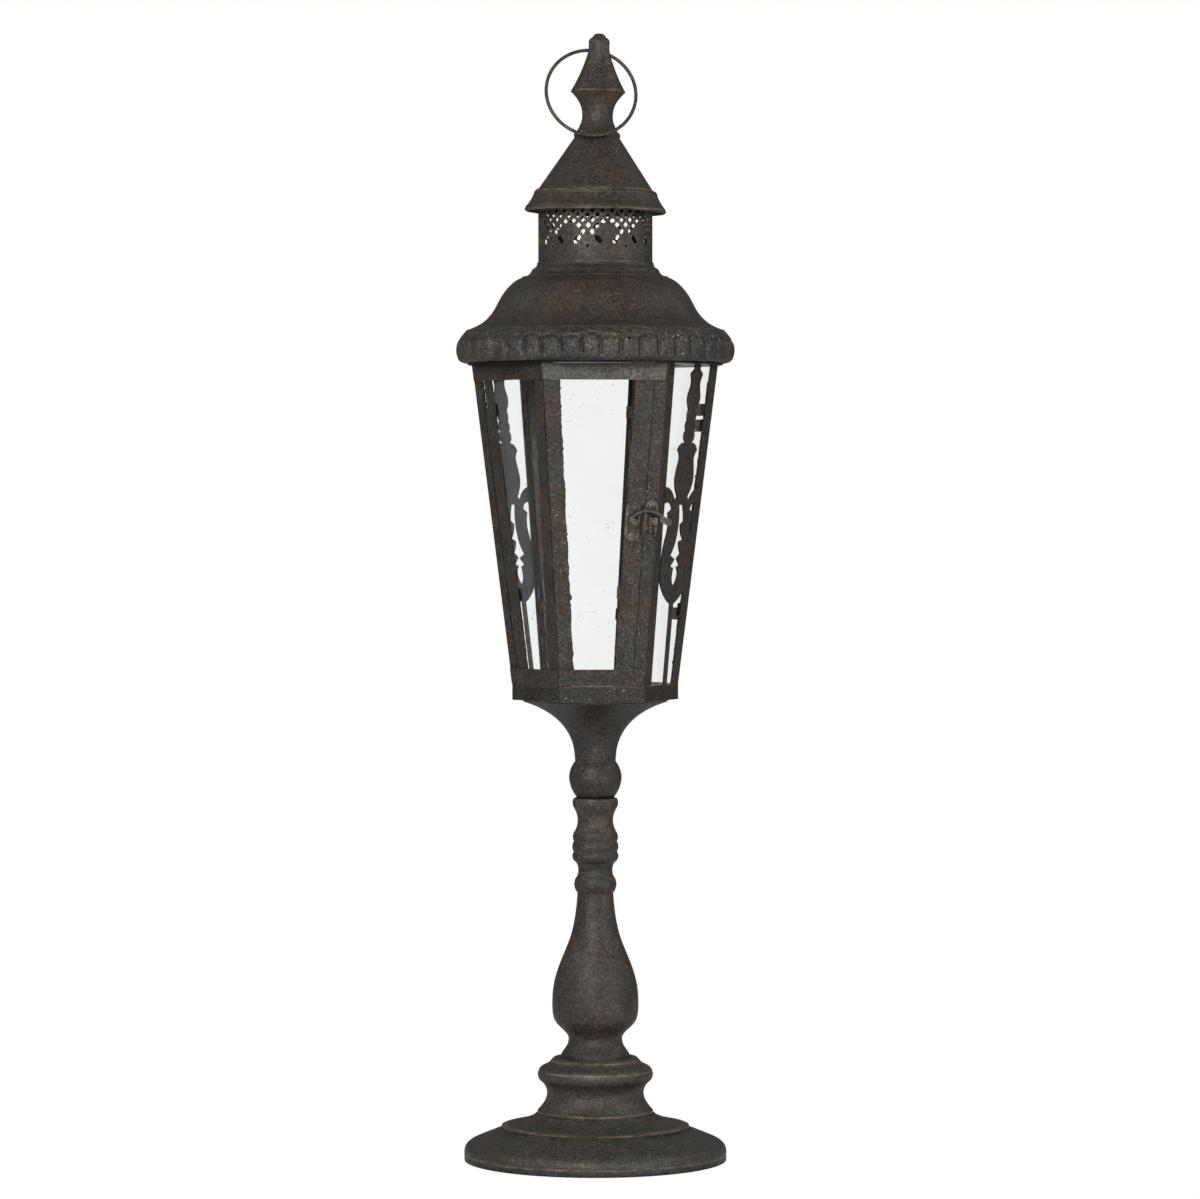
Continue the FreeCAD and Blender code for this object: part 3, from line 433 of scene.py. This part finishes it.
# ---- shapes -------------------------------------------------------------------------
def smooth_curve(points, steps):
    """Points of a Catmull-Rom curve through (radius, height) pairs."""
    padded = [points[0], *points, points[-1]]
    curve = []
    for a, b, c, d in zip(padded, padded[1:], padded[2:], padded[3:]):
        for step in range(steps):
            t = step / steps
            curve.append(tuple(
                0.5 * (2 * q + (r - p) * t + (2 * p - 5 * q + 4 * r - s) * t * t
                       + (3 * q - p - 3 * r + s) * t ** 3)
                for p, q, r, s in zip(a, b, c, d)))
    curve.append(points[-1])
    return curve


def add_mesh(name, verts, faces, material, smooth=True):
    """New object from points in millimetres, with its faces all turned outwards."""
    mesh = bpy.data.meshes.new(name)
    mesh.from_pydata([tuple(MM * value for value in vert) for vert in verts], [], faces)
    mesh.materials.append(material)
    mesh.validate()
    shell = bmesh.new()
    shell.from_mesh(mesh)
    bmesh.ops.recalc_face_normals(shell, faces=shell.faces)
    shell.to_mesh(mesh)
    shell.free()
    if smooth:
        mesh.shade_smooth()
    piece = bpy.data.objects.new(name, mesh)
    bpy.context.scene.collection.objects.link(piece)
    return piece


def lobe_groove(place, height, tops):
    """Depth pressed in at a place round the rim, counted in lobes from the first: a valley
    between two lobes, and a shallow ledge over each lobe's rounded top."""
    number = math.floor(place + 0.5)
    off = abs(place - number)
    top = tops[number % LOBES]
    arch = top - ARCH_DROP * (2 * off) ** 3
    ledge = LEDGE_DEEP * math.exp(-((height - arch) / LEDGE_HEIGHT) ** 2)
    rise = (height - LOBE_FOOT) / (top - LOBE_FOOT)
    if not 0 < rise < 1:
        return ledge
    fade = math.sin(math.pi * rise) ** 0.5
    valley = math.exp(-((0.5 - off) / VALLEY_WIDTH) ** 2)
    crown = (2 * off) ** 2.2
    return ledge + VALLEY_DEEP * fade * (0.5 * valley + 0.5 * crown)


def lobed_rim(material):
    """Rim pressed into rounded lobes, each a little different, with a curled-under lip."""
    outside = smooth_curve(RIM_OUTSIDE, RIM_OUTSIDE_STEPS)
    inside = smooth_curve(RIM_INSIDE, RIM_INSIDE_STEPS)
    rng = random.Random(RIM_SEED)
    tops = [rng.uniform(LOBE_TOP_LOW, LOBE_TOP_HIGH) for _ in range(LOBES)]
    strays = [rng.uniform(-LOBE_STRAY, LOBE_STRAY) for _ in range(LOBES)]
    rows = LOBES * STEPS_PER_LOBE
    verts = []
    for row in range(rows):
        place = row / STEPS_PER_LOBE
        angle = math.radians(FIRST_LOBE_DEG + 360 * place / LOBES)
        here = int(place) % LOBES
        stray = strays[here] * (1 - place % 1) + strays[(here + 1) % LOBES] * (place % 1)
        pressed = [(radius - lobe_groove(place + stray, height, tops), height)
                   for radius, height in outside]
        for radius, height in pressed + inside:
            verts.append((radius * math.cos(angle), radius * math.sin(angle), height))
    around = len(outside) + len(inside)
    faces = []
    for row in range(rows):
        following = (row + 1) % rows
        for step in range(around):
            after = (step + 1) % around
            faces.append((row * around + step, following * around + step,
                          following * around + after, row * around + after))
    rim = add_mesh("rim_lobed", verts, faces, material)
    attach(rim, "lantern")
    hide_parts("rim_band")


def half_face(height):
    """Half the width of a face of the glazed body at this height."""
    return (CORNER_R + FLARE * (height - SILL_TOP)) / 2


def on_face(degrees, across, height, proud):
    """Point on a leaning face of the lantern, standing this far out from it."""
    apothem = (CORNER_R + FLARE * (height - SILL_TOP)) * math.cos(FACE_ANGLE / 2) + proud
    angle = math.radians(degrees)
    return (apothem * math.cos(angle) - across * math.sin(angle),
            apothem * math.sin(angle) + across * math.cos(angle), height)


def heights_between(end_gap, steps):
    """Levels from just above the sill to just below the roof."""
    travel = BODY_TOP - SILL_TOP - 2 * end_gap
    return [SILL_TOP + end_gap + travel * step / steps for step in range(steps + 1)]


def strip_faces(steps):
    """Faces of a closed strip that has four points at each step."""
    faces = []
    for step in range(steps):
        a = 4 * step
        for p, q in ((0, 1), (1, 3), (3, 2), (2, 0)):
            faces.append((a + p, a + q, a + 4 + q, a + 4 + p))
    last = 4 * steps
    faces.append((0, 2, 3, 1))
    faces.append((last, last + 1, last + 3, last + 2))
    return faces


def paint_fringe(number, body, degrees, side, inset, taper, material):
    """Thin ragged run of paint on the glass along a stile, a third of a millimetre thick."""
    rng = random.Random(FRINGE_SEED + number)
    glass = PANE_PROUD[body]
    reach = FRINGE_START
    verts = []
    for step, height in enumerate(heights_between(FRINGE_END_GAP, FRINGE_STEPS)):
        wander = rng.uniform(-FRINGE_WANDER, FRINGE_WANDER)
        reach += FRINGE_RETURN * (FRINGE_USUAL - reach) + wander
        reach = max(FRINGE_LEAST, reach)
        blob = BLOB if rng.random() < BLOB_CHANCE else 0.0
        stile = inset + taper * step / FRINGE_STEPS
        for edge in (stile - FRINGE_UNDER_STILE, stile + reach + blob):
            across = side * (half_face(height) - edge)
            for skin in FRINGE_SKINS:
                verts.append(on_face(degrees, across, height, glass + skin))
    fringe = add_mesh(f"paint_fringe_{number}", verts, strip_faces(FRINGE_STEPS), material,
                      smooth=False)
    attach(fringe, body)


def painted_gap_shadow(number, degrees, side, material):
    """Painted shadow: a near-black line on the jamb beside the gap where a framed panel meets
    it.
    """
    rng = random.Random(SEAM_SEED - degrees)
    verts = []
    for height in heights_between(SEAM_END_GAP, SEAM_STEPS):
        width = rng.uniform(SEAM_NARROW, SEAM_WIDE)
        for edge in (JAMB_EDGE - width, JAMB_EDGE - JAMB_CLEAR):
            across = side * (half_face(height) - edge)
            for skin in SEAM_SKINS:
                verts.append(on_face(degrees, across, height, skin))
    gap_shadow_strip = add_mesh(f"painted_gap_shadow_{number}", verts, strip_faces(SEAM_STEPS), material,
                    smooth=False)
    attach(gap_shadow_strip, "lantern")


# ---- studio -------------------------------------------------------------------------
def add_floor():
    """Wide sheet of paper under the object."""
    bpy.ops.mesh.primitive_plane_add(size=FLOOR_SIZE)
    floor = bpy.context.object
    floor.name = "floor"
    floor.data.materials.append(pale_floor())


def add_light(name, place, aim, size, power):
    """Soft rectangular lamp."""
    data = bpy.data.lights.new(name, "AREA")
    data.shape = "RECTANGLE"
    data.size = size[0]
    data.size_y = size[1]
    data.energy = power
    lamp = bpy.data.objects.new(name, data)
    bpy.context.scene.collection.objects.link(lamp)
    lamp.location = place
    lamp.rotation_euler = (Vector(aim) - Vector(place)).to_track_quat("-Z", "Y").to_euler()


def add_world():
    """Bright even backdrop; the object itself is lit by a softer grey surround."""
    world = bpy.data.worlds.new("studio")
    world.use_nodes = True
    tree = world.node_tree
    tree.nodes.clear()
    out = tree.nodes.new("ShaderNodeOutputWorld")
    path = tree.nodes.new("ShaderNodeLightPath")
    seen = tree.nodes.new("ShaderNodeMath")
    seen.operation = "MAXIMUM"
    tree.links.new(path.outputs["Is Camera Ray"], seen.inputs[0])
    tree.links.new(path.outputs["Is Transmission Ray"], seen.inputs[1])
    mix = tree.nodes.new("ShaderNodeMixShader")
    tree.links.new(seen.outputs[0], mix.inputs[0])
    for socket, strength in ((1, SURROUND), (2, BACKDROP)):
        background = tree.nodes.new("ShaderNodeBackground")
        background.inputs["Color"].default_value = WHITE
        background.inputs["Strength"].default_value = strength
        tree.links.new(background.outputs[0], mix.inputs[socket])
    tree.links.new(mix.outputs[0], out.inputs["Surface"])
    bpy.context.scene.world = world


def add_studio():
    """Floor, lamps and backdrop, shown without a film look."""
    add_floor()
    for lamp in LAMPS:
        add_light(*lamp)
    add_world()
    bpy.context.scene.view_settings.view_transform = "Standard"


def add_camera():
    """Camera a little to the left of the door, above mid height, looking slightly down."""
    right = Vector((math.cos(CAMERA_AZIMUTH), math.sin(CAMERA_AZIMUTH), 0))
    back = Vector((math.sin(CAMERA_AZIMUTH), -math.cos(CAMERA_AZIMUTH), 0))
    aim = right * CAMERA_AIM_RIGHT + Vector((0, 0, CAMERA_AIM_HEIGHT))
    place = right * CAMERA_AIM_RIGHT + back * CAMERA_DISTANCE
    place.z = CAMERA_HEIGHT
    data = bpy.data.cameras.new("camera")
    data.lens = LENS_MM
    data.sensor_width = SENSOR_MM
    data.sensor_fit = "HORIZONTAL"
    camera = bpy.data.objects.new("camera", data)
    bpy.context.scene.collection.objects.link(camera)
    camera.location = place
    camera.rotation_euler = (aim - place).to_track_quat("-Z", "Y").to_euler()
    bpy.context.scene.camera = camera


def main():
    """Load the frame, dress it, add the worked shapes and set up the studio."""
    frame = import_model()
    looks = finishes()
    dress_nodes(frame, looks)
    lobed_rim(rim_iron())
    for number, edge in enumerate(PAINTED_EDGES):
        paint_fringe(number, *edge, looks["frame_iron"])
    # Painted shadows: near-black lines in the gaps beside the door and beside a side panel.
    shadow_black = gap_shadow_finish()
    for number, (degrees, side) in enumerate(SEAMS):
        painted_gap_shadow(number, degrees, side, shadow_black)
    add_studio()
    add_camera()


main()
